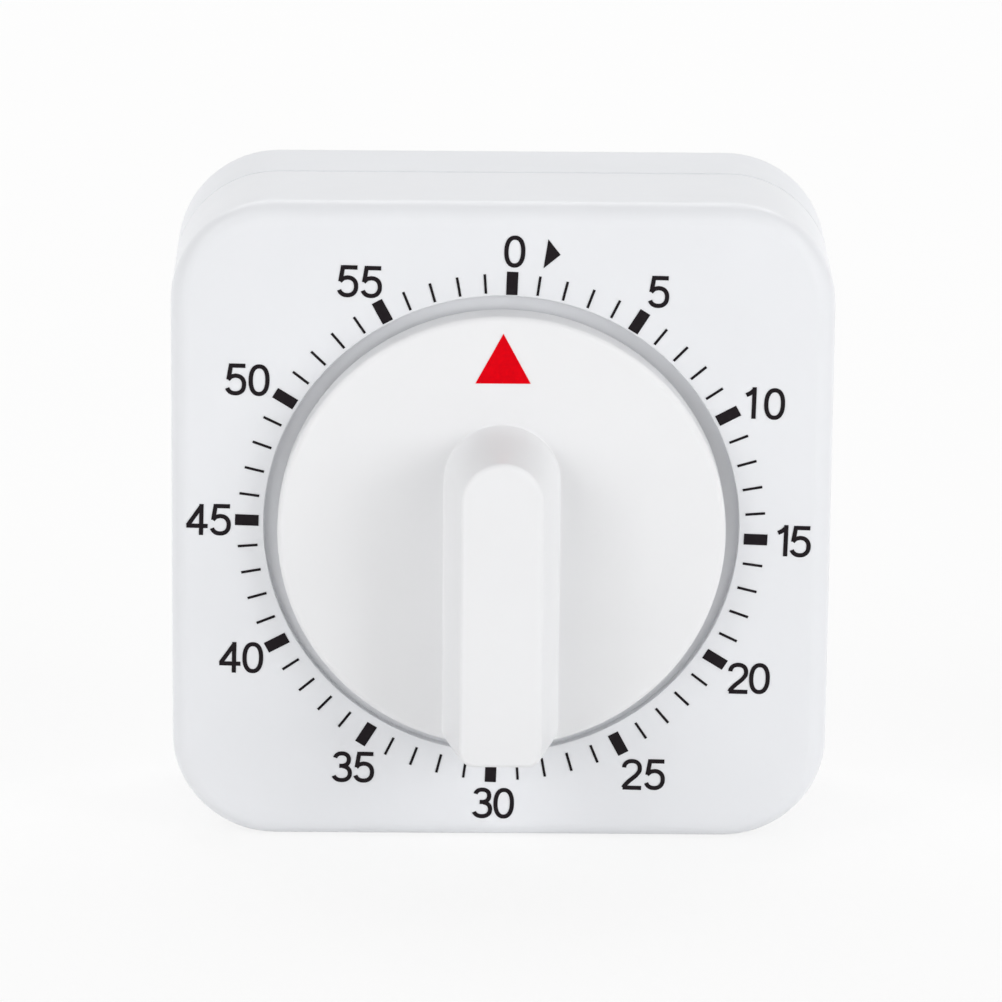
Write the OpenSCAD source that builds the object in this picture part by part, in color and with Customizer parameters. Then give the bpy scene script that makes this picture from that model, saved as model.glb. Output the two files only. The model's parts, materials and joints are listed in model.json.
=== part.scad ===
// Mechanical sixty minute kitchen timer: square case, round turning knob with a ridge handle,
// clockwork with a runaway escapement, and a gong that is struck once at zero.
// Millimetres. It stands upright: +Z is up and the dial looks towards -Y.
// The origin is on the bottom face, midway across the case and midway through its depth.
// Inside the modules the dial frame is used: x to the right, y up, z out of the dial,
// with z = 0 on the front face, so everything inside the case has a negative z.

/* [Case] */
// width of the case
case_w = 70; // [68:0.5:76]
// height of the case
case_h = 70; // [68:0.5:76]
// depth of the case without the knob
case_d = 26; // [25.8:0.2:30]
// radius of the four corners seen from the front
corner_r = 11; // [9:0.5:13]
// rounding of the front edge
front_edge_r = 2; // [1:0.25:3]
// rounding of the rear edge
rear_edge_r = 2; // [1:0.25:2.5]
// wall thickness of both shells
wall_t = 2; // [1.6:0.1:2.2]
// depth of the seam between the shells, behind the front face
seam_back = 14.6; // [13:0.2:15.4]
// chamfer on both sides of the seam
seam_cut = 0.25; // [0.1:0.05:0.4]
// thickness of the tongue that centres the rear cover
tongue_t = 0.9; // [0.6:0.1:1]
// length of that tongue
tongue_len = 1.4; // [1:0.1:2]
// distance of the case screws from the sides
screw_inset = 8; // [7.6:0.1:8.6]
// radius of the screw bosses
boss_r = 4; // [3.4:0.1:4.2]

/* [Knob] */
// radius of the knob
knob_r = 23.7; // [22.6:0.1:24.4]
// front of the knob's disc above the case face
knob_rise = 3; // [2.6:0.1:4]
// how far the knob's skirt reaches below the case face
skirt_drop = 0.2; // [0.1:0.1:0.6]
// wall thickness of the knob
knob_wall_t = 1.8; // [1.4:0.1:2.2]
// rounding of the knob's rim
rim_round = 0.6; // [0.3:0.1:0.8]
// height of the ridge handle above the disc
handle_rise = 9; // [7:0.5:11]
// width of the handle at its front
handle_top_w = 8.7; // [7.8:0.1:9.4]
// width of the handle where it meets the disc
handle_base_w = 12.2; // [11:0.1:13.4]
// reach of the handle's front above the knob's axis
handle_up = 10.2; // [9:0.1:11]
// how far the handle's lower end stays inside the rim
handle_inset = 0.75; // [0.65:0.05:1.5]
// corner radius of the handle's lower end
handle_corner_r = 1.6; // [1.2:0.1:3.7]
// rounding of the handle's front edge
handle_round = 0.5; // [0.3:0.1:1.2]
// hollow fillet at the foot of the handle
handle_fillet = 0.2; // [0.1:0.1:1]
// radius of the hub inside the knob
hub_r = 4.2; // [3.6:0.1:4.6]

/* [Dial] */
// gap between the knob and the round recess in the face
recess_gap = 1.5; // [1:0.05:1.6]
// depth of that recess
recess_depth = 1.1; // [0.9:0.05:1.5]
// thickness of the recess floor
recess_floor_t = 1.8; // [1.7:0.05:2]
// rounding of the recess lip
lip_round = 0.12; // [0.05:0.01:0.3]
// least distance of the printed marks from the lip
mark_gap = 0.02; // [0.01:0.01:0.4]
// length of a five minute mark
major_len = 2.5; // [2:0.1:3]
// width of a five minute mark
major_w = 1.2; // [0.8:0.1:1.6]
// length of a minute mark
minor_len = 2.1; // [1.6:0.1:2.6]
// width of a minute mark
minor_w = 0.27; // [0.2:0.01:0.5]
// thickness of the printed ink
ink_t = 0.05; // [0.03:0.01:0.1]
// turn of the print on the face, clockwise, as photographed
print_turn = 1.9; // [0:0.1:3]
// drop of the print below the knob's axis, as photographed
print_drop = 0.4; // [0:0.05:0.6]
// pointer triangle: distance of its tip from the knob's rim
pointer_edge = 1.8; // [1.2:0.1:2.4]
// pointer triangle: length
pointer_len = 5.4; // [4:0.1:5.8]
// pointer triangle: width of its base
pointer_w = 5.8; // [4:0.1:7]

/* [Movement] */
// thickness of both movement plates
plate_t = 1; // [0.8:0.05:1.1]
// width of the plates
plate_w = 54; // [52:0.5:56]
// height of the plates
plate_h = 44; // [43:0.5:45]
// room between the plates
plate_gap = 10; // [9.9:0.05:10.2]
// height of the posts that carry the movement
post_h = 1.6; // [1.5:0.05:1.7]
// radius of the pillars between the plates
pillar_r = 2; // [1.6:0.1:2.2]
// pillars: distance from the middle, sideways
pillar_x = 23.5; // [23:0.1:24.5]
// pillars: distance from the middle, upwards
pillar_y = 18.5; // [18.2:0.1:19]
// radius of the main arbor
arbor_r = 2; // [1.8:0.05:2.2]
// radius of the pivots of the wheels
pivot_r = 0.5; // [0.4:0.02:0.6]
// tooth module of the main wheel
main_module = 0.4; // [0.39:0.002:0.404]
// tooth module of the second wheel
second_module = 0.35; // [0.345:0.001:0.354]
// tooth module of the third wheel
third_module = 0.3; // [0.296:0.001:0.303]
// thickness of the wheels
wheel_t = 0.7; // [0.6:0.02:0.76]
// radius of the escape wheel
escape_r = 5.5; // [5.4:0.02:5.6]
// distance between the escape wheel and the anchor
anchor_far = 7.6; // [7.4:0.02:7.8]
// length of the inertia bar on each side
bar_reach = 8.5; // [7:0.1:9]
// thickness of the mainspring strip
strip_t = 0.3; // [0.2:0.02:0.4]
// width of the mainspring strip
strip_w = 4; // [3.4:0.1:4.1]
// outer radius of the mainspring
spring_r = 10.4; // [9.8:0.1:10.6]

/* [Strike] */
// radius of the strike cam
cam_r = 6; // [5.8:0.05:6.2]
// radius of the gong
gong_r = 16; // [15:0.1:16.2]
// thickness of the gong's metal
gong_t = 0.7; // [0.5:0.05:0.8]
// radius of the hammer head
head_r = 2; // [1.6:0.1:2.2]
// free way of the hammer head before it meets the gong
head_gap = 1.42; // [1.4:0.02:1.8]
// room between the gong and the inside of the rear cover
gong_room = 1.6; // [1.3:0.1:2]

/* [Rear] */
// radius of the holding magnets
magnet_r = 6; // [5:0.1:6.4]
// thickness of the magnets
magnet_t = 2.4; // [2:0.1:2.5]
// width of a sound slot
slot_w = 2; // [1.4:0.1:2.6]
// length of the longest sound slot
slot_len = 24; // [18:0.5:26]

/* [Fits] */
// radial clearance of everything that turns
run_gap = 0.05; // [0.03:0.01:0.08]
// clearance of screws and loose fits
loose_gap = 0.1; // [0.06:0.01:0.2]

/* [Hidden] */
$fn = 96;
eps = 0.02;
recess_r = knob_r + recess_gap;
rib_gap = 0.4;
foot_inset = 0.3;
rib_t = 1.2;
mark_in_r = recess_r + lip_round + print_drop + mark_gap;
minor_back = 0.17;
pointer_in_r = knob_r - pointer_edge - pointer_len;
dish_r = recess_r + wall_t;
dish_back = -recess_depth - recess_floor_t;
plate_front = dish_back - post_h;
room = plate_front - plate_t;
room_end = room - plate_gap;
plate_end = room_end - plate_t;
boss_x = case_w / 2 - screw_inset;
boss_y = case_h / 2 - screw_inset;
screw_r = 1.2;
screw_head_r = 2.4;
head_seat = -case_d + 6;
main_teeth = 72;
second_leaves = 9;
second_teeth = 64;
third_leaves = 8;
third_teeth = 60;
escape_leaves = 8;
escape_teeth = 15;
main_to_second = (main_teeth + second_leaves) * main_module / 2;
second_to_third = (second_teeth + third_leaves) * second_module / 2;
third_to_escape = (third_teeth + escape_leaves) * third_module / 2;
second_dir = 150;
third_dir = -105;
escape_dir = -55;
anchor_dir = -30;
second_at = main_to_second * [cos(second_dir), sin(second_dir)];
third_at = second_at + second_to_third * [cos(third_dir), sin(third_dir)];
escape_at = third_at + third_to_escape * [cos(escape_dir), sin(escape_dir)];
anchor_at = escape_at + anchor_far * [cos(anchor_dir), sin(anchor_dir)];
hammer_at = [12.5, 15];
second_arbor_r = 1;
third_arbor_r = 0.8;
escape_arbor_r = 0.6;
anchor_arbor_r = 0.8;
hammer_arbor_r = 1.2;
rear_pivot_r = 1.2;
bush_t = 1;
flange_t = 0.3;
flange_w = 0.65;
cam_z = room - 0.45;
cam_t = 0.9;
spring_z = room - 1.8;
main_z = room - 6.2;
main_t = wheel_t + 0.1;
click_z = main_z - main_t - 0.08;
click_t = 0.7;
clip_t = 0.5;
second_z = room - 8.3;
third_z = room - 0.4;
escape_z = room - 3;
anchor_z = escape_z - wheel_t - 0.3;
bar_z = room - 8.3;
gong_at = [-4, -4];
gong_lift = 0.7;
gong_z = plate_end - gong_lift;
gong_deep = case_d - wall_t - gong_room + gong_z;
gong_bend_r = gong_deep / 2;
gong_post_r = 2.4;
gong_tenon_r = 1.5;
gong_screw_r = 0.9;
gong_screw_len = 3;
gong_screw_head_r = 2.2;
head_at = gong_at + (gong_r + head_gap + head_r) * [cos(3), sin(3)];
arm_z = plate_end - 0.45;
arm_t = 0.7;
head_len = gong_deep * 0.55;
head_pin_r = 0.9;
arm_w = 2;
arm_hub_r = 2.4;
arm_end_r = 1.8;
mount_points = [[0, 19.5], [15, -18.5], [-15, -19]];
mount_post_r = 2.5;
mount_screw_r = 0.9;
mount_screw_bite = 0.9;
mount_head_r = 1.8;
mount_head_t = 0.9;
slot_cut_w = 0.4;
pillar_tenon_r = pillar_r * 0.6;
pillar_screw_r = 0.8;
pillar_screw_bite = 3.5;
pillar_head_r = 1.7;
pillar_head_t = 1;
stop_pin_far = 13;
stop_pin_dir = 90;
stop_pin_r = 0.4;
stop_half = 3;
stop_z = dish_back - 0.45;
stop_t = 0.7;
finger_w = 0.5;
spring_post_at = 12.4 * [cos(-60), sin(-60)];
spring_post_r = 0.7;
stud_at = [19, 3];
stud_r = 0.8;
ratchet_r = 5.6;
ratchet_teeth = 24;
click_turn = 15;
click_at = [ratchet_r + 1.15, 6];
click_pin_r = 0.6;
click_hub_r = 1.4;
click_head_r = 1.1;
click_head_t = 0.2;
click_play = 0.05;
leaf_at = [ratchet_r + 4.6, -2.5];
leaf_pin_r = 0.5;
leaf_t = 0.3;
leaf_eye_t = 0.4;
leaf_touch = [0.92, -3];
lever_w = 2;
lever_hub_r = 2.4;
nose_r = 0.5;
nose_gap = 0.1;
nose_at = [cam_r + nose_gap + nose_r, 0];
elbow_at = nose_at + [2.4, 3.6];
lever_run = (hammer_at - elbow_at) / norm(hammer_at - elbow_at);
lever_side = [lever_run[1], -lever_run[0]];
leaf_gap = 0.117;
leaf_tip = elbow_at + 0.34 * (hammer_at - elbow_at) + (lever_w / 2 + leaf_t / 2 + leaf_gap) * lever_side;
anchor_t = 0.8;
anchor_w = 1;
anchor_hub_r = 1.7;
pallet_pin_r = 0.25;
pallet_gap = 0.08;
pallet_far = escape_r + pallet_gap + pallet_pin_r;
pallet_out = 0.2;
bar_t = 0.8;
bar_w = 1.8;
bar_hub_r = 2;
bar_end_r = 1.8;
hook_w = 0.9;
magnet_edge = 1.4;
magnet_x = case_w / 2 - wall_t - magnet_r - magnet_edge;
tongue_gap = loose_gap;

// turns the dial frame upright and puts the case on its bottom face
module place() {
    translate([0, -case_d / 2, case_h / 2])
        rotate([90, 0, 0])
            children();
}

// a disc or ring whose front face is at z
module slice(z, t) {
    translate([0, 0, z - t])
        linear_extrude(height = t)
            children();
}

module rounded_square(w, h, r) {
    square([w - 2 * r, h], center = true);
    square([w, h - 2 * r], center = true);
    for (sx = [-1, 1])
        for (sy = [-1, 1])
            translate([sx * (w / 2 - r), sy * (h / 2 - r)])
                circle(r);
}

// a block with rounded corners whose edge outline is the child, drawn outwards from the corner axis
module swept_block(w, h, r, z_low, z_high) {
    translate([-w / 2 + r, -h / 2 + r, z_low])
        cube([w - 2 * r, h - 2 * r, z_high - z_low]);
    for (sx = [-1, 1])
        for (sy = [-1, 1])
            translate([sx * (w / 2 - r), sy * (h / 2 - r), 0])
                rotate_extrude()
                    children();
    for (turn = [0, 180])
        rotate([0, 0, turn])
            translate([w / 2 - r, 0, 0])
                rotate([90, 0, 0])
                    linear_extrude(height = h - 2 * r, center = true)
                        children();
    for (turn = [90, 270])
        rotate([0, 0, turn])
            translate([h / 2 - r, 0, 0])
                rotate([90, 0, 0])
                    linear_extrude(height = w - 2 * r, center = true)
                        children();
}

// edge outline of a shell: rounded outside, small chamfer at the seam
module shell_edge(r, deep, round_r, cut) {
    polygon([[0, -deep], [r - cut, -deep], [r, -deep + cut], [r, -round_r], [r - round_r, 0], [0, 0]]);
    translate([r - round_r, -round_r])
        circle(round_r);
}

// gear outline with straight sided teeth, one tooth on the x axis
module gear_outline(n, m, tip, root, at_pitch, at_tip, at_root) {
    pitch_r = n * m / 2;
    step = 360 / n;
    outline = [for (i = [0:n - 1])
        for (k = [[-root, -at_root], [0, -at_pitch], [tip, -at_tip], [tip, at_tip], [0, at_pitch], [-root, at_root]])
            (pitch_r + k[0] * m) * [cos((i + k[1] / 2) * step), sin((i + k[1] / 2) * step)]];
    polygon(outline);
}

module wheel_outline(n, m) {
    gear_outline(n, m, 0.95, 1.2, 0.44, 0.18, 0.62);
}

module pinion_outline(n, m) {
    gear_outline(n, m, 0.8, 1.3, 0.4, 0.22, 0.42);
}

// flat bar with round ends between two points
module bar_outline(a, b, w) {
    run = b - a;
    translate(a)
        rotate(atan2(run[1], run[0]))
            translate([0, -w / 2])
                square([norm(run), w]);
    translate(a)
        circle(w / 2);
    translate(b)
        circle(w / 2);
}

module front_shell() {
    cavity_r = corner_r - wall_t;
    color("#ecedef")
        place()
            difference() {
                union() {
                    difference() {
                        swept_block(case_w, case_h, corner_r, -seam_back, 0)
                            shell_edge(corner_r, seam_back, front_edge_r, seam_cut);
                        slice(-wall_t, seam_back)
                            rounded_square(case_w - 2 * wall_t, case_h - 2 * wall_t, cavity_r);
                        slice(-seam_back + tongue_len + tongue_gap, seam_back)
                            rounded_square(case_w - 2 * wall_t + 2 * (tongue_t + tongue_gap),
                                case_h - 2 * wall_t + 2 * (tongue_t + tongue_gap),
                                cavity_r + tongue_t + tongue_gap);
                    }
                    slice(-wall_t + eps, -dish_back - wall_t + eps)
                        circle(dish_r);
                    for (p = mount_points)
                        translate(p)
                            slice(dish_back + eps, post_h + eps)
                                circle(mount_post_r);
                    for (sx = [-1, 1])
                        for (sy = [-1, 1])
                            translate([sx * boss_x, sy * boss_y])
                                slice(-wall_t + eps, seam_back - wall_t + eps)
                                    circle(boss_r);
                }
                slice(1, 1 + recess_depth)
                    circle(recess_r);
                rotate_extrude()
                    translate([recess_r, -lip_round])
                        difference() {
                            translate([-eps, 0])
                                square([lip_round + eps, lip_round + eps]);
                            translate([lip_round, 0])
                                circle(lip_round);
                        }
                slice(0, 8)
                    circle(arbor_r + 1.6);
                for (p = mount_points)
                    translate(p)
                        slice(dish_back + mount_screw_bite + 0.3, mount_screw_bite + 0.3 + post_h + 1)
                            circle(mount_screw_r);
                for (sx = [-1, 1])
                    for (sy = [-1, 1])
                        translate([sx * boss_x, sy * boss_y])
                            slice(-seam_back + 8, 9)
                                circle(screw_r);
            }
}

module rear_cover() {
    cavity_r = corner_r - wall_t;
    rear_d = case_d - seam_back;
    color("#e9eaec")
        place()
            difference() {
                union() {
                    difference() {
                        translate([0, 0, -case_d])
                            mirror([0, 0, 1])
                                swept_block(case_w, case_h, corner_r, -rear_d, 0)
                                    shell_edge(corner_r, rear_d, rear_edge_r, seam_cut);
                        slice(-seam_back + eps, rear_d - wall_t + eps)
                            rounded_square(case_w - 2 * wall_t, case_h - 2 * wall_t, cavity_r);
                    }
                    difference() {
                        slice(-seam_back + tongue_len, tongue_len + 1)
                            rounded_square(case_w - 2 * wall_t + 2 * tongue_t,
                                case_h - 2 * wall_t + 2 * tongue_t, cavity_r + tongue_t);
                        slice(0, seam_back + 2)
                            rounded_square(case_w - 2 * wall_t, case_h - 2 * wall_t, cavity_r);
                    }
                    for (sx = [-1, 1])
                        for (sy = [-1, 1])
                            translate([sx * boss_x, sy * boss_y])
                                slice(-seam_back, rear_d - wall_t + eps)
                                    circle(boss_r);
                    for (sx = [-1, 1])
                        translate([sx * magnet_x, 0])
                            slice(-case_d + magnet_t + 0.9, magnet_t + 0.9 - wall_t + eps)
                                circle(magnet_r + 1.2);
                }
                for (sx = [-1, 1])
                    for (sy = [-1, 1])
                        translate([sx * boss_x, sy * boss_y]) {
                            slice(0, 40)
                                circle(screw_r + loose_gap);
                            slice(head_seat, 20)
                                circle(screw_head_r + 0.3);
                        }
                for (sx = [-1, 1])
                    translate([sx * magnet_x, 0])
                        slice(-case_d + magnet_t, 20)
                            circle(magnet_r + loose_gap);
                for (i = [-3:3])
                    translate([0, i * 2 * slot_w])
                        slice(-case_d + wall_t + 1, wall_t + 2)
                            bar_outline([-slot_len / 2 + abs(i) * 1.6, 0], [slot_len / 2 - abs(i) * 1.6, 0], slot_w);
            }
}

module case_screws() {
    color("#b9bcc0")
        place()
            for (sx = [-1, 1])
                for (sy = [-1, 1])
                    translate([sx * boss_x, sy * boss_y])
                        difference() {
                            union() {
                                slice(-seam_back + 5.6, -seam_back + 5.6 - head_seat)
                                    circle(screw_r);
                                slice(head_seat, 1.8)
                                    circle(screw_head_r);
                            }
                            slice(head_seat - 0.9, 2)
                                square([3.2, 0.6], center = true);
                            slice(head_seat - 0.9, 2)
                                square([0.6, 3.2], center = true);
                        }
}

module holding_magnets() {
    color("#45464a")
        place()
            for (sx = [-1, 1])
                translate([sx * magnet_x, 0])
                    slice(-case_d + magnet_t, magnet_t)
                        circle(magnet_r);
}

module dial_marks() {
    color("#262225")
        place()
            translate([0, -print_drop, 0])
                for (i = [0:59])
                    rotate([0, 0, 90 - print_turn - 6 * i])
                        translate([mark_in_r, 0])
                            if (i % 5 == 0)
                                translate([0, -major_w / 2, 0])
                                    cube([major_len, major_w, ink_t]);
                            else
                                translate([minor_back, -minor_w / 2, 0])
                                    cube([minor_len, minor_w, ink_t]);
}

// half outline of the handle's edge, from its foot to its front
function handle_curve(foot, front, rise, round_r, fillet_r) =
    let (slope = sqrt(pow(foot - front, 2) + rise * rise))
    let (nx = rise / slope)
    let (nz = (foot - front) / slope)
    let (lean = atan2(nz, nx))
    let (cx = front - round_r * (1 - nz) / nx)
    let (bx = foot + fillet_r * (1 - nz) / nx)
    concat(
        [for (i = [0:5])
            let (t = 270 - (90 - lean) * i / 5)
            [bx + fillet_r * cos(t), fillet_r + fillet_r * sin(t)]],
        [for (i = [0:7])
            let (t = lean + (90 - lean) * i / 7)
            [cx + round_r * cos(t), rise - round_r + round_r * sin(t)]]);

// the handle as a whole form: a revolved upper end, a long bar and a lower end with two round corners
module handle_form() {
    front = handle_top_w / 2;
    curve = handle_curve(handle_base_w / 2, front, handle_rise, handle_round, handle_fillet);
    side = front - handle_corner_r;
    up_y = handle_up - front;
    low_y = knob_r - handle_inset - handle_corner_r;
    half = concat([[0, -0.5], [curve[0][0], -0.5]], curve, [[0, handle_rise]]);
    near = concat([[0, -0.5], [curve[0][0] - side, -0.5]], [for (p = curve) [p[0] - side, p[1]]], [[0, handle_rise]]);
    translate([0, up_y, 0])
        rotate_extrude()
            polygon(half);
    translate([0, (up_y - low_y) / 2, 0])
        rotate([90, 0, 0])
            for (s = [0, 1])
                mirror([s, 0, 0])
                    linear_extrude(height = up_y + low_y, center = true)
                        polygon(half);
    for (s = [-1, 1])
        translate([s * side, -low_y, 0])
            rotate_extrude()
                polygon(near);
    translate([0, -low_y, 0])
        rotate([0, 0, -90])
            rotate([90, 0, 0])
                linear_extrude(height = 2 * side, center = true)
                    polygon(near);
}

// the hollow inside the handle
module handle_hollow() {
    foot = handle_base_w / 2 - knob_wall_t;
    front = handle_top_w / 2 - knob_wall_t;
    wide = foot + (foot - front) * knob_wall_t / (handle_rise - knob_wall_t);
    up_y = handle_up - handle_top_w / 2;
    low_y = knob_r - handle_inset - 2 * knob_wall_t;
    high = handle_rise;
    translate([0, up_y, -knob_wall_t])
        cylinder(r1 = wide, r2 = front, h = high);
    translate([0, (up_y - low_y) / 2, -knob_wall_t])
        rotate([90, 0, 0])
            linear_extrude(height = up_y + low_y, center = true)
                polygon([[-wide, 0], [wide, 0], [front, high], [-front, high]]);
}

module knob() {
    ceiling = knob_rise - knob_wall_t;
    bore_top = knob_rise + handle_rise - 5;
    color("#edeef0")
        place()
            difference() {
                union() {
                    difference() {
                        union() {
                            slice(knob_rise - rim_round, knob_rise - rim_round + skirt_drop)
                                circle(knob_r);
                            slice(knob_rise, 1)
                                circle(knob_r - rim_round);
                            translate([0, 0, knob_rise - rim_round])
                                rotate_extrude()
                                    translate([knob_r - rim_round, 0])
                                        circle(rim_round);
                            intersection() {
                                translate([0, 0, knob_rise])
                                    handle_form();
                                slice(knob_rise + handle_rise + 1, handle_rise + 2)
                                    circle(knob_r - foot_inset);
                            }
                        }
                        slice(ceiling, ceiling + skirt_drop + 1)
                            circle(knob_r - knob_wall_t);
                        translate([0, 0, knob_rise])
                            handle_hollow();
                    }
                    slice(bore_top + 1.5, bore_top + 1.5 + skirt_drop - 0.1)
                        circle(hub_r);
                    for (turn = [45:90:315])
                        rotate([0, 0, turn])
                            translate([hub_r - 0.5, -rib_t / 2, rib_gap - skirt_drop])
                                cube([knob_r - knob_wall_t - hub_r + 0.9, rib_t, ceiling + skirt_drop - rib_gap + eps]);
                }
                slice(bore_top, bore_top + skirt_drop + 1)
                    intersection() {
                        circle(arbor_r);
                        translate([-5, -5])
                            square([5 + arbor_r * 0.7, 10]);
                    }
            }
}

module pointer_mark() {
    color("#dc0114")
        place()
            slice(knob_rise + ink_t, ink_t)
                polygon([[-pointer_w / 2, pointer_in_r], [pointer_w / 2, pointer_in_r],
                    [0, pointer_in_r + pointer_len]]);
}

module plate_outline() {
    rounded_square(plate_w, plate_h, 3);
}

module pivot_holes() {
    for (p = [second_at, third_at, escape_at, anchor_at])
        translate(p)
            circle(pivot_r + run_gap);
}

module front_plate() {
    color("#c9a552")
        place()
            slice(plate_front, plate_t)
                difference() {
                    plate_outline();
                    pivot_holes();
                    translate(hammer_at)
                        circle(pivot_r + run_gap);
                    circle(arbor_r + bush_t);
                    for (p = mount_points)
                        translate(p)
                            circle(mount_screw_r + loose_gap);
                    for (sx = [-1, 1])
                        for (sy = [-1, 1])
                            translate([sx * pillar_x, sy * pillar_y])
                                circle(pillar_tenon_r);
                    translate(stop_pin_far * [cos(stop_pin_dir), sin(stop_pin_dir)])
                        circle(stop_pin_r);
                    translate(spring_post_at)
                        circle(spring_post_r);
                    translate(stud_at)
                        circle(stud_r);
                }
}

module rear_plate() {
    color("#c9a552")
        place()
            slice(room_end, plate_t)
                difference() {
                    plate_outline();
                    pivot_holes();
                    translate(hammer_at)
                        circle(hammer_arbor_r + run_gap);
                    circle(rear_pivot_r + bush_t);
                    translate(gong_at)
                        circle(gong_tenon_r);
                    for (sx = [-1, 1])
                        for (sy = [-1, 1])
                            translate([sx * pillar_x, sy * pillar_y])
                                circle(pillar_screw_r + loose_gap);
                }
}

module plate_pillars() {
    color("#a8abae")
        place()
            for (sx = [-1, 1])
                for (sy = [-1, 1])
                    translate([sx * pillar_x, sy * pillar_y])
                        difference() {
                            union() {
                                slice(plate_front, plate_t + 1)
                                    circle(pillar_tenon_r);
                                slice(room, plate_gap)
                                    circle(pillar_r);
                            }
                            slice(room_end + pillar_screw_bite + 0.5, pillar_screw_bite + 1.5)
                                circle(pillar_screw_r);
                        }
}

module pillar_screws() {
    color("#8f9296")
        place()
            for (sx = [-1, 1])
                for (sy = [-1, 1])
                    translate([sx * pillar_x, sy * pillar_y])
                        difference() {
                            union() {
                                slice(room_end + pillar_screw_bite, plate_t + pillar_screw_bite + 0.1)
                                    circle(pillar_screw_r);
                                slice(plate_end, pillar_head_t)
                                    circle(pillar_head_r);
                            }
                            slice(plate_end - pillar_head_t / 2, pillar_head_t)
                                square([3 * pillar_head_r, slot_cut_w], center = true);
                        }
}

module mount_screws() {
    color("#8f9296")
        place()
            for (p = mount_points)
                translate(p)
                    difference() {
                        union() {
                            slice(dish_back + mount_screw_bite, dish_back + mount_screw_bite - room)
                                circle(mount_screw_r);
                            slice(room, mount_head_t)
                                circle(mount_head_r);
                        }
                        slice(room - mount_head_t / 2, mount_head_t)
                            square([3 * mount_head_r, slot_cut_w], center = true);
                    }
}

module front_bushing() {
    color("#b5893a")
        place()
            difference() {
                union() {
                    slice(plate_front + eps, plate_t + eps)
                        circle(arbor_r + bush_t);
                    slice(plate_front + flange_t, flange_t)
                        circle(arbor_r + bush_t + flange_w);
                }
                slice(0, 20)
                    circle(arbor_r + run_gap);
            }
}

module rear_bushing() {
    color("#b5893a")
        place()
            difference() {
                union() {
                    slice(room_end, plate_t + eps)
                        circle(rear_pivot_r + bush_t);
                    slice(plate_end, flange_t)
                        circle(rear_pivot_r + bush_t + flange_w);
                }
                slice(0, 30)
                    circle(rear_pivot_r + run_gap);
            }
}

module main_arbor() {
    top = knob_rise + handle_rise - 5.3;
    flat_end = -skirt_drop - 0.2;
    shoulder = room_end + 0.12;
    color("#9da0a4")
        place() {
            difference() {
                slice(top, top - shoulder)
                    circle(arbor_r);
                translate([arbor_r * 0.7, -5, flat_end])
                    cube([5, 10, top - flat_end + 1]);
            }
            slice(shoulder + eps, plate_t + 0.5)
                circle(rear_pivot_r);
        }
}

module stop_washer() {
    color("#8f9296")
        place()
            slice(stop_z, stop_t)
                difference() {
                    union() {
                        circle(arbor_r + 1.6);
                        rotate(stop_pin_dir - stop_half)
                            translate([arbor_r + 1, -finger_w / 2])
                                square([stop_pin_far + 0.6 - arbor_r - 1, finger_w]);
                    }
                    circle(arbor_r);
                }
}

module stop_pin() {
    color("#8f9296")
        place()
            translate(stop_pin_far * [cos(stop_pin_dir), sin(stop_pin_dir)])
                slice(stop_z - 0.05, stop_z - 0.05 - room)
                    circle(stop_pin_r);
}

module strike_cam() {
    floor_r = cam_r - 1.5;
    color("#d8d4c6")
        place()
            slice(cam_z, cam_t)
                difference() {
                    circle(cam_r);
                    polygon([floor_r * [cos(-12), sin(-12)], 8 * [cos(-15), sin(-15)], 8 * [cos(28), sin(28)],
                        floor_r * [cos(20), sin(20)]]);
                    circle(arbor_r);
                }
}

module mainspring() {
    turns = 7;
    steps = 32;
    in_r = arbor_r + strip_t / 2;
    grow = (spring_r - in_r) / turns;
    path_end = turns * steps;
    start = -60 - turns * 360;
    outer = [for (i = [0:path_end])
        (in_r + grow * i / steps + strip_t / 2) * [cos(start + 360 * i / steps), sin(start + 360 * i / steps)]];
    inner = [for (i = [path_end:-1:0])
        (in_r + grow * i / steps - strip_t / 2) * [cos(start + 360 * i / steps), sin(start + 360 * i / steps)]];
    echo("mainspring least gap between turns", grow - strip_t);
    color("#7f8488")
        place()
            slice(spring_z, strip_w) {
                difference() {
                    polygon(concat(outer, inner));
                    circle(arbor_r);
                }
                difference() {
                    bar_outline(spring_r * 0.985 * [cos(-60), sin(-60)], spring_post_at, hook_w);
                    translate(spring_post_at)
                        circle(spring_post_r);
                }
            }
}

module spring_post() {
    color("#8f9296")
        place()
            translate(spring_post_at)
                slice(plate_front, plate_front - spring_z + strip_w)
                    circle(spring_post_r);
}

module main_wheel() {
    color("#d2a843")
        place()
            slice(main_z, main_t)
                difference() {
                    rotate(second_dir)
                        wheel_outline(main_teeth, main_module);
                    circle(arbor_r + run_gap);
                    rotate(click_turn)
                        translate(click_at)
                            circle(click_pin_r);
                    rotate(click_turn)
                        translate(leaf_at)
                            circle(leaf_pin_r);
                    for (turn = [150:72:294])
                        rotate(turn)
                            translate([9.2, 0])
                                circle(2.6);
                }
}

module ratchet_wheel() {
    step = 360 / ratchet_teeth;
    color("#9da0a4")
        place()
            slice(click_z, click_t)
                difference() {
                    polygon([for (i = [0:ratchet_teeth - 1])
                        for (k = [[ratchet_r - 0.7, 0.02], [ratchet_r, 0.84], [ratchet_r, 0.94], [ratchet_r - 0.7, 0.98]])
                            k[0] * [cos((i + k[1]) * step), sin((i + k[1]) * step)]]);
                    circle(arbor_r);
                }
}

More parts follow.
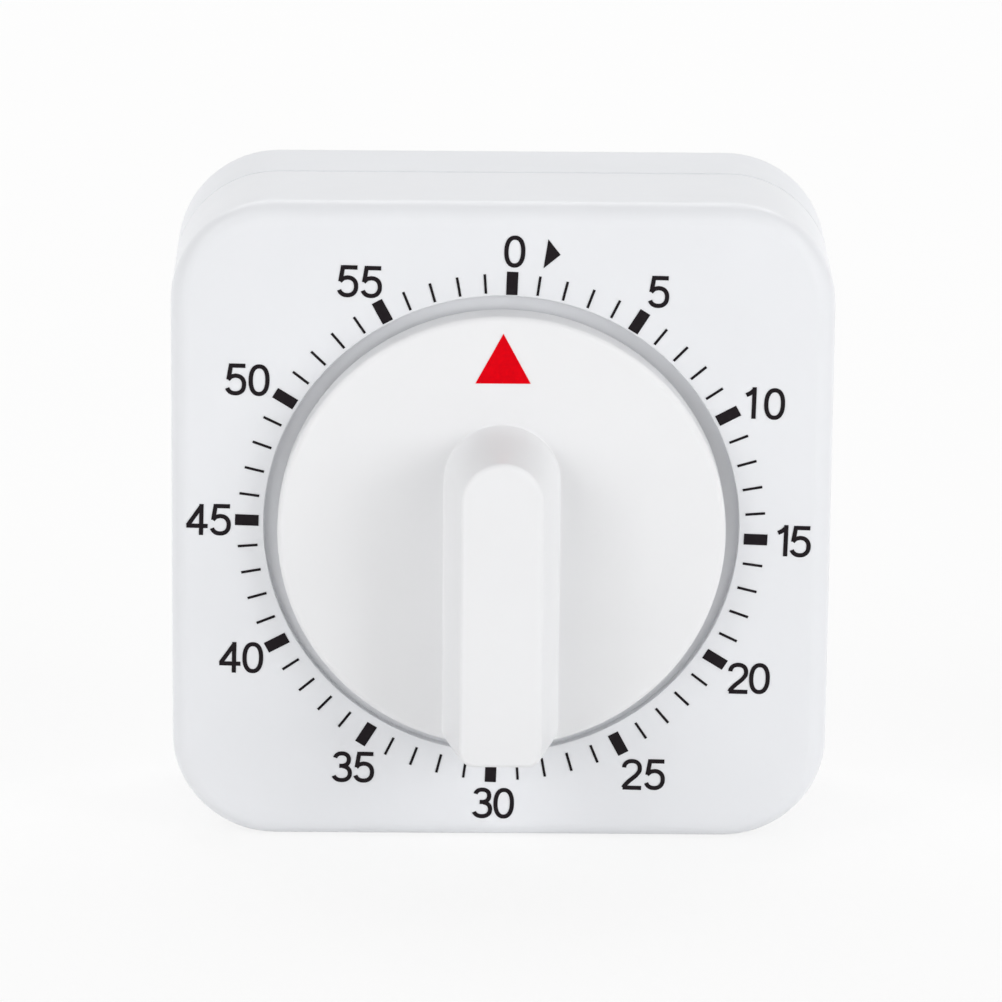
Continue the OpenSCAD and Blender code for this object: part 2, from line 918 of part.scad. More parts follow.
// the click lies along the ratchet and its beak stands before the steep side of a tooth
module ratchet_click() {
    color("#9da0a4")
        place()
            rotate([0, 0, click_turn])
                slice(click_z, click_t)
                    difference() {
                        union() {
                            translate(click_at)
                                circle(click_hub_r);
                            polygon([[ratchet_r - 0.5, 0.12], [ratchet_r + 1.3, 0.12], click_at + [1.3, 0],
                                click_at + [-1.25, 0], [ratchet_r, 1.34]]);
                        }
                        translate(click_at)
                            circle(click_pin_r + run_gap);
                    }
}

module click_pins() {
    color("#8f9296")
        place()
            rotate([0, 0, click_turn]) {
                translate(click_at) {
                    slice(main_z, main_z - click_z + click_t + click_play + click_head_t / 2)
                        circle(click_pin_r);
                    slice(click_z - click_t - click_play, click_head_t)
                        circle(click_head_r);
                }
                translate(leaf_at)
                    slice(main_z, main_t + click_t)
                        circle(leaf_pin_r);
            }
}

module click_spring() {
    color("#7f8488")
        place()
            rotate([0, 0, click_turn])
                slice(click_z, click_t - 0.1)
                    difference() {
                        union() {
                            bar_outline(leaf_at, click_at + leaf_touch, leaf_t);
                            translate(leaf_at)
                                circle(leaf_pin_r + leaf_eye_t);
                        }
                        translate(leaf_at)
                            circle(leaf_pin_r);
                    }
}

module arbor_clip() {
    color("#8f9296")
        place()
            slice(click_z - click_t, clip_t)
                difference() {
                    circle(arbor_r + 1.5);
                    circle(arbor_r);
                    translate([0, -1])
                        square([6, 2]);
                }
}

// an arbor between the plates with a pivot at each end
module wheel_arbor(at, r) {
    translate(at) {
        slice(room - 0.1, plate_gap - 0.2)
            circle(r);
        slice(plate_front + 0.2, plate_gap + 2 * plate_t + 0.4)
            circle(pivot_r);
    }
}

module second_arbor() {
    color("#9da0a4")
        place()
            wheel_arbor(second_at, second_arbor_r);
}

module second_pinion() {
    color("#9da0a4")
        place()
            translate(second_at)
                slice(main_z + 0.35, main_t + 0.7)
                    difference() {
                        rotate(second_dir + 180 - 180 / second_leaves)
                            pinion_outline(second_leaves, main_module);
                        circle(second_arbor_r);
                    }
}

module second_wheel() {
    color("#d2a843")
        place()
            translate(second_at)
                slice(second_z, wheel_t)
                    difference() {
                        rotate(third_dir)
                            wheel_outline(second_teeth, second_module);
                        circle(second_arbor_r);
                        for (turn = [0:90:270])
                            rotate(turn)
                                translate([6, 0])
                                    circle(2.8);
                    }
}

module third_arbor() {
    color("#9da0a4")
        place()
            wheel_arbor(third_at, third_arbor_r);
}

module third_pinion() {
    color("#9da0a4")
        place()
            translate(third_at)
                slice(second_z + 0.3, wheel_t + 0.6)
                    difference() {
                        rotate(third_dir + 180 - 180 / third_leaves)
                            pinion_outline(third_leaves, second_module);
                        circle(third_arbor_r);
                    }
}

module third_wheel() {
    color("#d2a843")
        place()
            translate(third_at)
                slice(third_z, wheel_t)
                    difference() {
                        rotate(escape_dir)
                            wheel_outline(third_teeth, third_module);
                        circle(third_arbor_r);
                        for (turn = [0:90:270])
                            rotate(turn)
                                translate([4.8, 0])
                                    circle(2.4);
                    }
}

module escape_arbor() {
    color("#9da0a4")
        place()
            wheel_arbor(escape_at, escape_arbor_r);
}

module escape_pinion() {
    color("#9da0a4")
        place()
            translate(escape_at)
                slice(third_z + 0.2, wheel_t + 0.5)
                    difference() {
                        rotate(escape_dir + 180 - 180 / escape_leaves)
                            pinion_outline(escape_leaves, third_module);
                        circle(escape_arbor_r);
                    }
}

module escape_wheel() {
    root_r = escape_r - 1.5;
    step = 360 / escape_teeth;
    color("#d2a843")
        place()
            translate(escape_at)
                slice(escape_z, wheel_t)
                    difference() {
                        rotate(anchor_dir + 42 - 8.4)
                            polygon([for (i = [0:escape_teeth - 1])
                                for (k = [[root_r, -1], [escape_r, 0], [escape_r, 2.5], [root_r, 13]])
                                    k[0] * [cos(i * step + k[1]), sin(i * step + k[1])]]);
                        circle(escape_arbor_r);
                    }
}

module anchor_arbor() {
    color("#9da0a4")
        place()
            wheel_arbor(anchor_at, anchor_arbor_r);
}

module pallet_anchor() {
    color("#9da0a4")
        place() {
            slice(anchor_z, anchor_t)
                difference() {
                    union() {
                        translate(anchor_at)
                            circle(anchor_hub_r);
                        for (turn = [-42, 42])
                            bar_outline(anchor_at, escape_at + pallet_far * [cos(anchor_dir + turn), sin(anchor_dir + turn)], anchor_w);
                    }
                    translate(anchor_at)
                        circle(anchor_arbor_r);
                }
            for (turn = [-42, 42])
                translate(escape_at + pallet_far * [cos(anchor_dir + turn), sin(anchor_dir + turn)])
                    slice(escape_z + pallet_out, escape_z + pallet_out - anchor_z + anchor_t / 8)
                        circle(pallet_pin_r, $fn = 8);
        }
}

module inertia_bar() {
    reach = bar_reach * [cos(anchor_dir + 90), sin(anchor_dir + 90)];
    color("#b9bcc0")
        place()
            slice(bar_z, bar_t)
                difference() {
                    union() {
                        bar_outline(anchor_at - reach, anchor_at + reach, bar_w);
                        translate(anchor_at)
                            circle(bar_hub_r);
                        for (s = [-1, 1])
                            translate(anchor_at + s * reach)
                                circle(bar_end_r);
                    }
                    translate(anchor_at)
                        circle(anchor_arbor_r);
                }
}

module hammer_arbor() {
    color("#9da0a4")
        place()
            translate(hammer_at) {
                slice(room - 0.1, room - 0.1 - arm_z + arm_t)
                    circle(hammer_arbor_r);
                slice(plate_front + 0.2, plate_t + 1)
                    circle(pivot_r);
            }
}

module strike_lever() {
    color("#b9bcc0")
        place()
            slice(cam_z, cam_t)
                difference() {
                    union() {
                        translate(hammer_at)
                            circle(lever_hub_r);
                        bar_outline(hammer_at, elbow_at, lever_w);
                        bar_outline(elbow_at, nose_at, 2 * nose_r);
                    }
                    translate(hammer_at)
                        circle(hammer_arbor_r);
                }
}

module hammer_arm() {
    color("#b9bcc0")
        place()
            slice(arm_z, arm_t)
                difference() {
                    union() {
                        bar_outline(hammer_at, head_at, arm_w);
                        translate(hammer_at)
                            circle(arm_hub_r);
                        translate(head_at)
                            circle(arm_end_r);
                    }
                    translate(hammer_at)
                        circle(hammer_arbor_r);
                    translate(head_at)
                        circle(head_pin_r);
                }
}

module hammer_head() {
    color("#8f9296")
        place()
            translate(head_at) {
                slice(arm_z, arm_t + head_len / 2)
                    circle(head_pin_r);
                slice(arm_z - arm_t, head_len)
                    circle(head_r);
            }
}

module hammer_spring() {
    color("#7f8488")
        place()
            slice(cam_z - 0.1, cam_t - 0.2)
                difference() {
                    union() {
                        bar_outline(stud_at + [-stud_r, stud_r * 0.6], leaf_tip, leaf_t);
                        translate(stud_at)
                            circle(stud_r + leaf_eye_t);
                    }
                    translate(stud_at)
                        circle(stud_r);
                }
}

module spring_stud() {
    color("#8f9296")
        place()
            translate(stud_at)
                slice(plate_front, plate_front - cam_z + cam_t)
                    circle(stud_r);
}

module gong() {
    bend_r = gong_bend_r;
    color("#c6c9cc")
        place()
            translate([gong_at[0], gong_at[1], gong_z])
                rotate_extrude() {
                    translate([gong_screw_r + loose_gap, -gong_deep])
                        square([gong_r - bend_r - gong_screw_r - loose_gap, gong_t]);
                    translate([gong_r - gong_t, -gong_deep + bend_r])
                        square([gong_t, gong_deep - bend_r]);
                    intersection() {
                        translate([gong_r - bend_r, -gong_deep + bend_r])
                            difference() {
                                circle(bend_r);
                                circle(bend_r - gong_t);
                            }
                        translate([gong_r - bend_r, -gong_deep])
                            square([bend_r, bend_r]);
                    }
                }
}

module gong_post() {
    color("#a8abae")
        place()
            translate(gong_at)
                difference() {
                    union() {
                        slice(room_end, plate_t + 1)
                            circle(gong_tenon_r);
                        slice(plate_end, gong_lift + gong_deep - gong_t)
                            circle(gong_post_r);
                    }
                    slice(gong_z - gong_deep + gong_t + gong_screw_len + 0.5, gong_screw_len + 1)
                        circle(gong_screw_r);
                }
}

module gong_screw() {
    color("#8f9296")
        place()
            translate(gong_at)
                difference() {
                    union() {
                        slice(gong_z - gong_deep + gong_t + gong_screw_len, gong_t + gong_screw_len + gong_screw_r / 2)
                            circle(gong_screw_r);
                        slice(gong_z - gong_deep, gong_screw_r)
                            circle(gong_screw_head_r);
                    }
                    slice(gong_z - gong_deep - gong_screw_r / 2, gong_screw_r)
                        square([3 * gong_screw_head_r, slot_cut_w], center = true);
                }
}

front_shell();
rear_cover();
case_screws();
holding_magnets();
dial_marks();
knob();
pointer_mark();
front_plate();
rear_plate();
plate_pillars();
pillar_screws();
mount_screws();
front_bushing();
rear_bushing();
main_arbor();
stop_washer();
stop_pin();
strike_cam();
mainspring();
spring_post();
main_wheel();
ratchet_wheel();
ratchet_click();
click_pins();
click_spring();
arbor_clip();
second_arbor();
second_pinion();
second_wheel();
third_arbor();
third_pinion();
third_wheel();
escape_arbor();
escape_pinion();
escape_wheel();
anchor_arbor();
pallet_anchor();
inertia_bar();
hammer_arbor();
strike_lever();
hammer_arm();
hammer_head();
hammer_spring();
spring_stud();
gong();
gong_post();
gong_screw();
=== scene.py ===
import json
import math

import bmesh
import bpy
from mathutils import Matrix, Vector
from mathutils.geometry import delaunay_2d_cdt

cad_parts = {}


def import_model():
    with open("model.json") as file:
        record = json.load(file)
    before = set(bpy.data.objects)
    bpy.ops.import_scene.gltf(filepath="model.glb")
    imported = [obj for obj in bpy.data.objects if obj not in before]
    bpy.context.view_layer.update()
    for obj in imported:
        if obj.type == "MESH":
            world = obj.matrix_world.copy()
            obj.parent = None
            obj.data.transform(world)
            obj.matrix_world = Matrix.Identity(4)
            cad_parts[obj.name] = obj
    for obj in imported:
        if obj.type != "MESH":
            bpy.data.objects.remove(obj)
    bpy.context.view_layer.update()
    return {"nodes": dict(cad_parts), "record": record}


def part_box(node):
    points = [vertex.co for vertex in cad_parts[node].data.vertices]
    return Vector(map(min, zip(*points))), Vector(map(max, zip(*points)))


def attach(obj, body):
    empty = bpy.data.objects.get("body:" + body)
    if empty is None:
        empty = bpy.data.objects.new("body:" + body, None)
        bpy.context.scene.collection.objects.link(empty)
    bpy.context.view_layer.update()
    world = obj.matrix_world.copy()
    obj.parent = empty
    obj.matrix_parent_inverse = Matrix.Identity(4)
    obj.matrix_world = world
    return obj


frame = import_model()
nodes = frame["nodes"]

MM = 0.001
FACE_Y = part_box("front_shell")[0].y
AXIS_Z = 0.5 * (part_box("front_shell")[0].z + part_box("front_shell")[1].z)


# Materials

# nearly all values of a noise texture lie between these two
NOISE_LOW = 0.3
NOISE_HIGH = 0.7


class Graph:
    """A material with one Principled shader and helpers that wire noise into it."""

    def __init__(self, name, metallic=0.0):
        self.mat = bpy.data.materials.new(name)
        self.mat.use_nodes = True
        self.tree = self.mat.node_tree
        self.shader = self.tree.nodes["Principled BSDF"]
        self.shader.inputs["Metallic"].default_value = metallic
        self.coords = self.tree.nodes.new("ShaderNodeTexCoord").outputs["Object"]

    def link(self, start, end):
        self.tree.links.new(start, end)

    def mapped(self, scale):
        mapping = self.tree.nodes.new("ShaderNodeMapping")
        mapping.inputs["Scale"].default_value = scale
        self.link(self.coords, mapping.inputs["Vector"])
        return mapping.outputs["Vector"]

    def noise(self, scale, detail=3.0, rough=0.5, coords=None):
        node = self.tree.nodes.new("ShaderNodeTexNoise")
        node.inputs["Scale"].default_value = scale
        node.inputs["Detail"].default_value = detail
        node.inputs["Roughness"].default_value = rough
        self.link(coords or self.coords, node.inputs["Vector"])
        return node.outputs["Fac"]

    def cells(self, scale):
        node = self.tree.nodes.new("ShaderNodeTexVoronoi")
        node.inputs["Scale"].default_value = scale
        self.link(self.coords, node.inputs["Vector"])
        return node.outputs["Distance"]

    def tint(self, fac, stops):
        """Colour the surface by a ramp of (position, colour) stops."""
        node = self.tree.nodes.new("ShaderNodeValToRGB")
        ramp = node.color_ramp
        while len(ramp.elements) < len(stops):
            ramp.elements.new(0.5)
        for element, (position, col) in zip(ramp.elements, stops):
            element.position = position
            element.color = (*col, 1.0)
        self.link(fac, node.inputs["Fac"])
        self.link(node.outputs["Color"], self.shader.inputs["Base Color"])

    def roughness(self, fac, low, high):
        node = self.tree.nodes.new("ShaderNodeMapRange")
        node.inputs["From Min"].default_value = NOISE_LOW
        node.inputs["From Max"].default_value = NOISE_HIGH
        node.inputs["To Min"].default_value = low
        node.inputs["To Max"].default_value = high
        self.link(fac, node.inputs["Value"])
        self.link(node.outputs["Result"], self.shader.inputs["Roughness"])

    def bump(self, fac, strength, depth):
        node = self.tree.nodes.new("ShaderNodeBump")
        node.inputs["Strength"].default_value = strength
        node.inputs["Distance"].default_value = depth
        self.link(fac, node.inputs["Height"])
        self.link(node.outputs["Normal"], self.shader.inputs["Normal"])


def shade(col, factor):
    return tuple(min(1.0, c * factor) for c in col)


def plastic(name, col, rough, grain=2600.0, relief=0.05):
    """Moulded plastic: faint flow clouds in the colour and the gloss, fine grain in the relief."""
    g = Graph(name)
    flow = g.noise(scale=70.0, detail=2.0)
    g.tint(flow, [(0.25, shade(col, 0.985)), (0.55, col), (0.8, shade(col, 1.008))])
    g.roughness(g.noise(scale=260.0, detail=4.0), *rough)
    g.bump(g.noise(scale=grain, rough=0.6), strength=relief, depth=0.04 * MM)
    return g.mat


def ink(name, col, thin, specular):
    """Pad printed ink: slightly uneven cover and a dry, grainy gloss."""
    g = Graph(name)
    cover = g.noise(scale=1500.0, detail=4.0, rough=0.65)
    g.tint(cover, [(0.25, thin), (0.5, col), (0.8, shade(col, 1.15))])
    g.roughness(g.noise(scale=3200.0), low=0.42, high=0.62)
    g.bump(g.noise(scale=5200.0, detail=2.0), strength=0.08, depth=0.02 * MM)
    g.shader.inputs["Specular IOR Level"].default_value = specular
    return g.mat


def metal(name, col, rough, stretch, streak=900.0, relief=0.06):
    """Rolled or turned metal: clouds in the tone, streaks along one direction in gloss and relief."""
    g = Graph(name, metallic=1.0)
    lines = g.noise(scale=streak, detail=4.0, rough=0.6, coords=g.mapped(stretch))
    cloud = g.noise(scale=180.0)
    g.tint(cloud, [(0.25, shade(col, 0.88)), (0.55, col), (0.8, shade(col, 1.08))])
    g.roughness(lines, *rough)
    g.bump(lines, strength=relief, depth=0.02 * MM)
    return g.mat


def ferrite(name):
    """Pressed ferrite: dark grey grains and a dull, pitted surface."""
    g = Graph(name)
    pale = (0.075, 0.075, 0.08)
    grey = (0.045, 0.045, 0.05)
    dark = (0.028, 0.028, 0.031)
    g.tint(g.cells(scale=4200.0), [(0.1, pale), (0.45, grey), (0.8, dark)])
    g.roughness(g.noise(scale=1500.0, detail=4.0), low=0.38, high=0.62)
    g.bump(g.noise(scale=2600.0, detail=4.0, rough=0.7), strength=0.25, depth=0.03 * MM)
    return g.mat


CASE_WHITE = (0.815, 0.825, 0.85)
COVER_WHITE = (0.80, 0.812, 0.838)
KNOB_WHITE = (0.84, 0.843, 0.855)
CAM_CREAM = (0.68, 0.65, 0.56)
INK_BLACK = (0.0115, 0.0085, 0.0105)
INK_GREY = (0.016, 0.013, 0.015)
POINTER_RED = (0.72, 0.0004, 0.006)
POINTER_THIN = (0.65, 0.001, 0.007)
PLATE_BRASS = (0.62, 0.43, 0.13)
WHEEL_BRASS = (0.68, 0.46, 0.12)
SCREW_STEEL = (0.55, 0.56, 0.58)
ARBOR_STEEL = (0.42, 0.43, 0.45)
PILLAR_STEEL = (0.5, 0.51, 0.53)
SPRING_STEEL = (0.27, 0.29, 0.32)
GONG_STEEL = (0.6, 0.61, 0.63)

# one material for each slot of the record
MATERIALS = {
    "case_plastic": plastic("case_plastic", CASE_WHITE, rough=(0.30, 0.40)),
    "cover_plastic": plastic("cover_plastic", COVER_WHITE, rough=(0.34, 0.46), grain=2200.0, relief=0.08),
    "knob_plastic": plastic("knob_plastic", KNOB_WHITE, rough=(0.29, 0.38), grain=3000.0, relief=0.04),
    "cam_plastic": plastic("cam_plastic", CAM_CREAM, rough=(0.4, 0.55), grain=1800.0, relief=0.1),
    "dial_ink": ink("dial_ink", INK_BLACK, INK_GREY, specular=0.1),
    "pointer_red": ink("pointer_red", POINTER_RED, POINTER_THIN, specular=0.04),
    "magnet_ferrite": ferrite("magnet_ferrite"),
    "plate_brass": metal("plate_brass", PLATE_BRASS, rough=(0.3, 0.42), stretch=(1, 1, 14), streak=500.0),
    "wheel_brass": metal("wheel_brass", WHEEL_BRASS, rough=(0.29, 0.38), stretch=(8, 1, 1), streak=700.0),
    "screw_steel": metal("screw_steel", SCREW_STEEL, rough=(0.3, 0.44), stretch=(1, 6, 1)),
    "arbor_steel": metal("arbor_steel", ARBOR_STEEL, rough=(0.29, 0.4), stretch=(1, 10, 1)),
    "pillar_steel": metal("pillar_steel", PILLAR_STEEL, rough=(0.3, 0.42), stretch=(1, 10, 1)),
    "spring_steel": metal("spring_steel", SPRING_STEEL, rough=(0.29, 0.38), stretch=(1, 12, 1)),
    "gong_steel": metal(
        "gong_steel", GONG_STEEL, rough=(0.1, 0.22), stretch=(1, 6, 1), streak=500.0, relief=0.03
    ),
}

for part in frame["record"]["subparts"]:
    mesh = nodes[part["node"]].data
    mesh.materials.clear()
    mesh.materials.append(MATERIALS[part["material_slot"]])


# Printed numbers

# height of a digit in millimetres, and the width of its lines as a share of that height
DIGIT_H = 3.45
STROKE = 0.132
# lean of the digits in degrees, anticlockwise
LEAN = -1.2
# thickness of the ink in front of the face and its depth in the face, in millimetres
INK_T = 0.05
INK_SINK = 0.02

# points of a digit nearer than this are one point, in digit heights
SAME_PLACE = 1e-6
# a line's corner grows outwards by no more than one over this share
SHARPEST_BEND = 0.4
# corners of the ink nearer than this are joined, in millimetres
JOIN_WITHIN = 1e-5
# faces of the ink that differ by less than this angle become one, in radians
FLAT_WITHIN = 0.002

# label: centre of each digit on the face, in millimetres from the knob's axis
LABELS = {
    "0": [(1.13, 30.02)],
    "5": [(16.29, 25.76)],
    "10": [(26.21, 13.74), (28.69, 13.64)],
    "15": [(29.87, -1.40), (31.75, -1.50)],
    "20": [(25.38, -16.77), (27.70, -16.80)],
    "25": [(14.20, -27.67), (16.69, -27.69)],
    "30": [(-1.76, -31.00), (0.53, -31.03)],
    "35": [(-16.82, -27.01), (-14.48, -27.05)],
    "40": [(-28.79, -14.76), (-26.36, -14.81)],
    "45": [(-32.23, 0.54), (-29.76, 0.50)],
    "50": [(-28.11, 15.93), (-25.66, 15.86)],
    "55": [(-16.35, 26.69), (-13.86, 26.62)],
}
# corners of the arrow beside the zero, in the same millimetres
ARROW = [(4.63, 31.37), (4.16, 28.24), (5.93, 29.71)]


def straight(x0, y0, x1, y1):
    return [Vector((x0, y0)), Vector((x1, y1))]


def smooth(points, steps=7):
    """A Catmull-Rom line through the points."""
    out = []
    p = [points[0], *points, points[-1]]
    for i in range(1, len(p) - 2):
        a, b, c, d = (Vector(q) for q in p[i - 1 : i + 3])
        linear = c - a
        square = 2 * a - 5 * b + 4 * c - d
        cubic = 3 * b - a - 3 * c + d
        for k in range(steps):
            t = k / steps
            out.append(0.5 * (2 * b + linear * t + square * t * t + cubic * t**3))
    return [*out, Vector(points[-1])]


def round_line(cx, cy, rx, ry, start, end, power=2.25, steps=34):
    """Part of a slightly squared ellipse between two angles in degrees."""
    out = []
    for i in range(steps + 1):
        t = math.radians(start + (end - start) * i / steps)
        c, s = math.cos(t), math.sin(t)
        x = math.copysign(abs(c) ** (2 / power), c)
        y = math.copysign(abs(s) ** (2 / power), s)
        out.append(Vector((cx + rx * x, cy + ry * y)))
    return out


def digit_lines(ch):
    """Centre lines of a plain sans digit of height 1, about 0.64 wide, with x = 0 in its middle."""
    if ch == "0":
        return [round_line(0, 0.5, 0.255, 0.436, 0, 360, power=2.3, steps=56)]
    if ch == "1":
        flag = smooth([(0.11, 0.965), (0.04, 0.875), (-0.05, 0.80), (-0.155, 0.745)])
        return [straight(0.09, 0.0, 0.09, 1.0), flag]
    if ch == "2":
        top = round_line(0.005, 0.70, 0.245, 0.235, 176, -24)
        tail = smooth([top[-1], (0.13, 0.46), (-0.06, 0.29), (-0.185, 0.155), (-0.245, 0.062)])
        return [top + tail[1:], straight(-0.262, 0.062, 0.315, 0.062)]
    if ch == "3":
        upper = round_line(-0.01, 0.735, 0.215, 0.2, 166, -62)
        waist = smooth([(0.10, 0.555), (0.03, 0.532), (-0.085, 0.53)])
        lower = round_line(-0.01, 0.29, 0.255, 0.228, 84, -160)
        return [upper, waist, lower]
    if ch == "4":
        stem = straight(0.125, 0.0, 0.125, 0.99)
        slope = straight(0.125, 0.925, -0.285, 0.305)
        bar = straight(-0.33, 0.292, 0.325, 0.292)
        return [stem, slope, bar]
    if ch == "5":
        bar = straight(0.285, 0.937, -0.155, 0.937)
        neck = straight(-0.15, 0.995, -0.225, 0.49)
        shoulder = smooth([(-0.235, 0.49), (-0.14, 0.585), (-0.01, 0.62)])
        bowl = round_line(-0.01, 0.34, 0.265, 0.278, 88, -158)
        return [bar, neck, shoulder + bowl[1:]]
    return []


def across(run):
    """The direction a quarter turn to the left."""
    return Vector((-run.y, run.x))


def ribbon(points, width):
    """Quads along a flat line of constant width with square ends."""
    last = len(points) - 1
    closed = (points[0] - points[-1]).length < SAME_PLACE
    sides = []
    for i, p in enumerate(points):
        before = points[i - 1] if i else (points[-2] if closed else p)
        after = points[i + 1] if i < last else (points[1] if closed else p)
        came, goes = p - before, after - p
        arrive = (came if came.length > SAME_PLACE else goes).normalized()
        leave = (goes if goes.length > SAME_PLACE else came).normalized()
        left = across((arrive + leave).normalized())
        reach = width / 2 / max(SHARPEST_BEND, left.dot(across(arrive)))
        sides.append((p - left * reach, p + left * reach))
    return [[sides[i][0], sides[i + 1][0], sides[i + 1][1], sides[i][1]] for i in range(last)]


def printed(name, outlines, slot="dial_ink"):
    """A thin slab of ink on the face from overlapping outlines in millimetres, joined into one sheet."""
    verts, faces = [], []
    for outline in outlines:
        faces.append(list(range(len(verts), len(verts) + len(outline))))
        verts.extend(outline)
    made, _, cells, _, _, owners = delaunay_2d_cdt(verts, [], faces, 0, JOIN_WITHIN)
    bm = bmesh.new()
    front = [bm.verts.new((v.x * MM, FACE_Y - INK_T * MM, AXIS_Z + v.y * MM)) for v in made]
    for cell, owner in zip(cells, owners):
        if owner:
            bm.faces.new([front[i] for i in cell])
    bmesh.ops.delete(bm, geom=[v for v in bm.verts if not v.link_faces], context="VERTS")
    bmesh.ops.dissolve_limit(bm, angle_limit=FLAT_WITHIN, verts=bm.verts[:], edges=bm.edges[:])
    sheet = bmesh.ops.extrude_face_region(bm, geom=bm.faces[:])
    back = [e for e in sheet["geom"] if isinstance(e, bmesh.types.BMVert)]
    bmesh.ops.translate(bm, verts=back, vec=(0, (INK_T + INK_SINK) * MM, 0))
    bmesh.ops.recalc_face_normals(bm, faces=bm.faces[:])
    mesh = bpy.data.meshes.new(name)
    bm.to_mesh(mesh)
    bm.free()
    mesh.materials.append(MATERIALS[slot])
    obj = bpy.data.objects.new(name, mesh)
    bpy.context.scene.collection.objects.link(obj)
    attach(obj, "case")


turn = Matrix.Rotation(math.radians(LEAN), 2)
middle = Vector((0, 0.5))
for label, spots in LABELS.items():
    shapes = []
    for ch, spot in zip(label, spots):
        for line in digit_lines(ch):
            for quad in ribbon(line, STROKE):
                shapes.append([Vector(spot) + turn @ ((q - middle) * DIGIT_H) for q in quad])
    printed("number_" + label, shapes)
printed("turn_arrow", [[Vector(corner) for corner in ARROW]])


# Floor, light and camera, in metres

FLOOR_HALF = 3.0
FLOOR_PALE = (0.96, 0.96, 0.955)
FLOOR_CLOUD = (0.945, 0.945, 0.94)
# share of plain white in the floor where it is seen directly; the rest keeps the shadow
FLOOR_WHITE = 0.8
# brightness of the surround as light on the part, and as a backdrop
TENT_LEVEL = 0.06
BACKDROP_LEVEL = 0.95

# all panels point here, at about the middle of the part
PANEL_AIM = (0.0, -0.01, 0.035)
# a panel below this height lies in the mirror direction of the flat top and would burn it white
MIRROR_ABOVE = 0.5
# name, place, width and height of the panel, watts
PANELS = [
    ("right_front", (0.60, -0.85, 0.26), (0.6, 0.46), 1.3),
    ("right_low", (0.86, -0.50, 0.24), (0.5, 0.44), 3.3),
    ("right_high", (0.70, -0.40, 0.70), (0.6, 0.6), 1.9),
    ("left_front", (-0.60, -0.85, 0.26), (0.6, 0.46), 2.5),
    ("left_low", (-0.86, -0.50, 0.24), (0.5, 0.44), 0.9),
    ("left_high", (-0.70, -0.40, 0.70), (0.6, 0.6), 2.8),
    ("top_back", (0.0, 0.62, 0.85), (1.2, 0.8), 5.6),
    ("rear_left", (-0.80, 0.85, 0.40), (0.7, 0.5), 2.6),
    ("rear_right", (0.80, 0.85, 0.40), (0.7, 0.5), 2.6),
]

# the camera fitted to the photograph: distance from the middle of the face, angles in degrees
CAMERA_FAR = 0.711
CAMERA_ABOVE = 16.65
CAMERA_SIDE = -0.6
CAMERA_ROLL = 0.55
# the same in pixels: width of the picture, focal length, place of the face from the picture's middle
PICTURE_W = 1002
FOCAL = 6708.0
FACE_BELOW = 25.1
FACE_RIGHT = 0.4
# width of the sensor in millimetres, and the nearest thing the camera sees in metres
SENSOR_W = 36.0
NEAREST = 0.01


def seen_directly(tree):
    """One for rays that look at the backdrop straight, in a mirror or through glass, else zero."""
    path = tree.nodes.new("ShaderNodeLightPath")
    fac = path.outputs["Is Camera Ray"]
    for kind in ("Is Glossy Ray", "Is Transmission Ray"):
        either = tree.nodes.new("ShaderNodeMath")
        either.operation = "MAXIMUM"
        tree.links.new(fac, either.inputs[0])
        tree.links.new(path.outputs[kind], either.inputs[1])
        fac = either.outputs[0]
    return fac


def floor_paper():
    """White paper that takes the shadow and shows nearly white where it is seen directly."""
    g = Graph("floor_paper")
    g.tint(g.noise(scale=9.0), [(0.3, FLOOR_CLOUD), (0.7, FLOOR_PALE)])
    g.roughness(g.noise(scale=40.0, detail=2.0), low=0.75, high=0.9)
    glow = g.tree.nodes.new("ShaderNodeEmission")
    share = g.tree.nodes.new("ShaderNodeMath")
    share.operation = "MULTIPLY"
    share.inputs[1].default_value = FLOOR_WHITE
    g.link(seen_directly(g.tree), share.inputs[0])
    mix = g.tree.nodes.new("ShaderNodeMixShader")
    g.link(share.outputs[0], mix.inputs["Fac"])
    g.link(g.shader.outputs["BSDF"], mix.inputs[1])
    g.link(glow.outputs["Emission"], mix.inputs[2])
    g.link(mix.outputs["Shader"], g.tree.nodes["Material Output"].inputs["Surface"])
    return g.mat


def floor():
    corners = [(x * FLOOR_HALF, y * FLOOR_HALF, 0) for x, y in ((-1, -1), (1, -1), (1, 1), (-1, 1))]
    mesh = bpy.data.meshes.new("floor")
    mesh.from_pydata(corners, [], [(0, 1, 2, 3)])
    mesh.materials.append(floor_paper())
    obj = bpy.data.objects.new("floor", mesh)
    bpy.context.scene.collection.objects.link(obj)


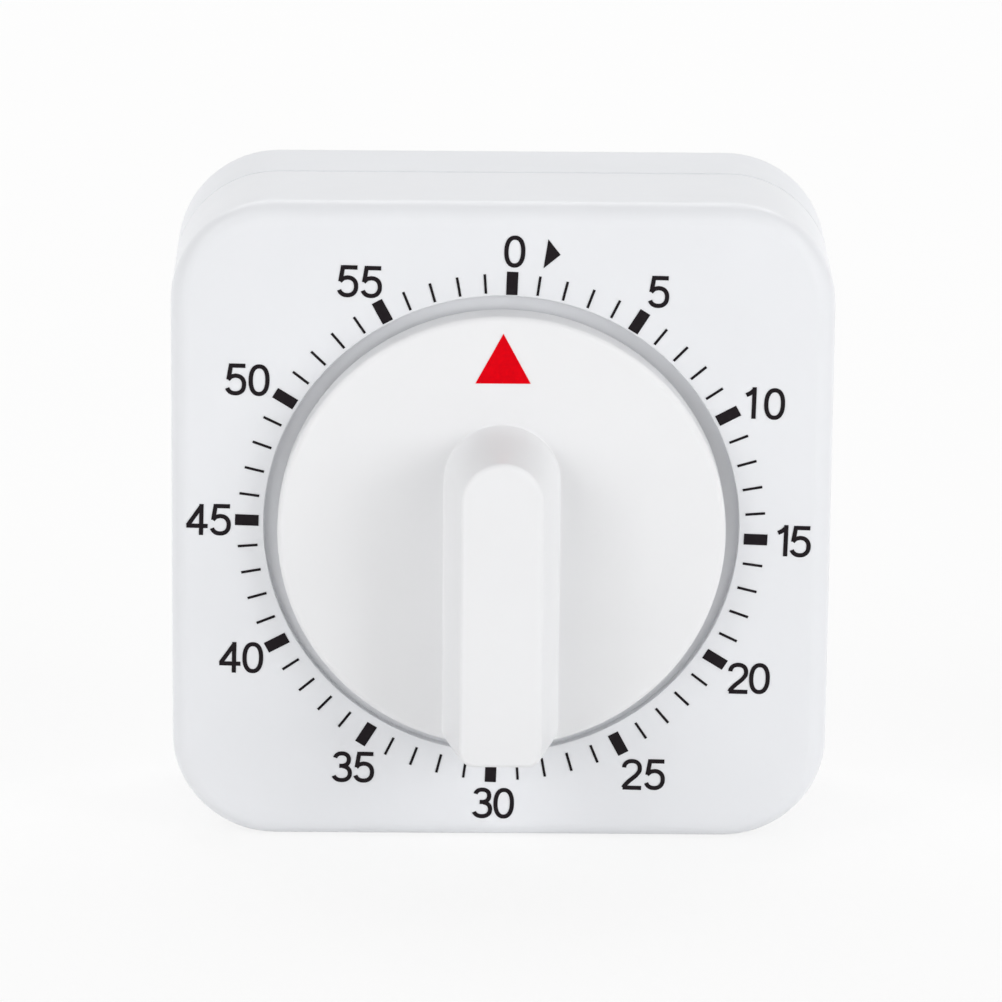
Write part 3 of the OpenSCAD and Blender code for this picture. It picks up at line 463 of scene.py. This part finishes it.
def softbox(name, place, size, watts):
    """A lit panel that points at the part."""
    light = bpy.data.lights.new(name, "AREA")
    light.shape = "RECTANGLE"
    light.size, light.size_y = size
    light.energy = watts
    obj = bpy.data.objects.new(name, light)
    obj.location = place
    obj.rotation_euler = (Vector(PANEL_AIM) - Vector(place)).to_track_quat("-Z", "Y").to_euler()
    obj.visible_glossy = place[2] > MIRROR_ABOVE
    bpy.context.scene.collection.objects.link(obj)


def world():
    """Even light all round; camera and mirror rays see a plain pale surround."""
    surround = bpy.data.worlds.new("tent")
    surround.use_nodes = True
    tree = surround.node_tree
    back = tree.nodes["Background"]
    back.inputs["Color"].default_value = (1.0, 1.0, 1.0, 1.0)
    level = tree.nodes.new("ShaderNodeMapRange")
    level.inputs["To Min"].default_value = TENT_LEVEL
    level.inputs["To Max"].default_value = BACKDROP_LEVEL
    tree.links.new(seen_directly(tree), level.inputs["Value"])
    tree.links.new(level.outputs["Result"], back.inputs["Strength"])
    bpy.context.scene.world = surround


def camera():
    """The fitted view of the face, from above and a little from the left."""
    above, side, roll = (math.radians(d) for d in (CAMERA_ABOVE, CAMERA_SIDE, CAMERA_ROLL))
    back = Vector(
        (math.sin(side) * math.cos(above), -math.cos(side) * math.cos(above), math.sin(above))
    )
    level = (-back).cross(Vector((0, 0, 1))).normalized()
    upright = level.cross(-back)
    right = math.cos(roll) * level + math.sin(roll) * upright
    up = math.cos(roll) * upright - math.sin(roll) * level
    ahead = (-back + up * (FACE_BELOW / FOCAL) - right * (FACE_RIGHT / FOCAL)).normalized()
    right = ahead.cross(up).normalized()
    up = right.cross(ahead)
    cam = bpy.data.cameras.new("camera")
    cam.sensor_width = SENSOR_W
    cam.lens = SENSOR_W * FOCAL / PICTURE_W
    cam.clip_start = NEAREST
    obj = bpy.data.objects.new("camera", cam)
    facing = Matrix((right, up, -ahead)).transposed().to_4x4()
    obj.matrix_world = Matrix.Translation(Vector((0, FACE_Y, AXIS_Z)) + back * CAMERA_FAR) @ facing
    bpy.context.scene.collection.objects.link(obj)
    bpy.context.scene.camera = obj


floor()
world()
for name, place, size, watts in PANELS:
    softbox(name, place, size, watts)
camera()
bpy.context.scene.view_settings.view_transform = "Standard"
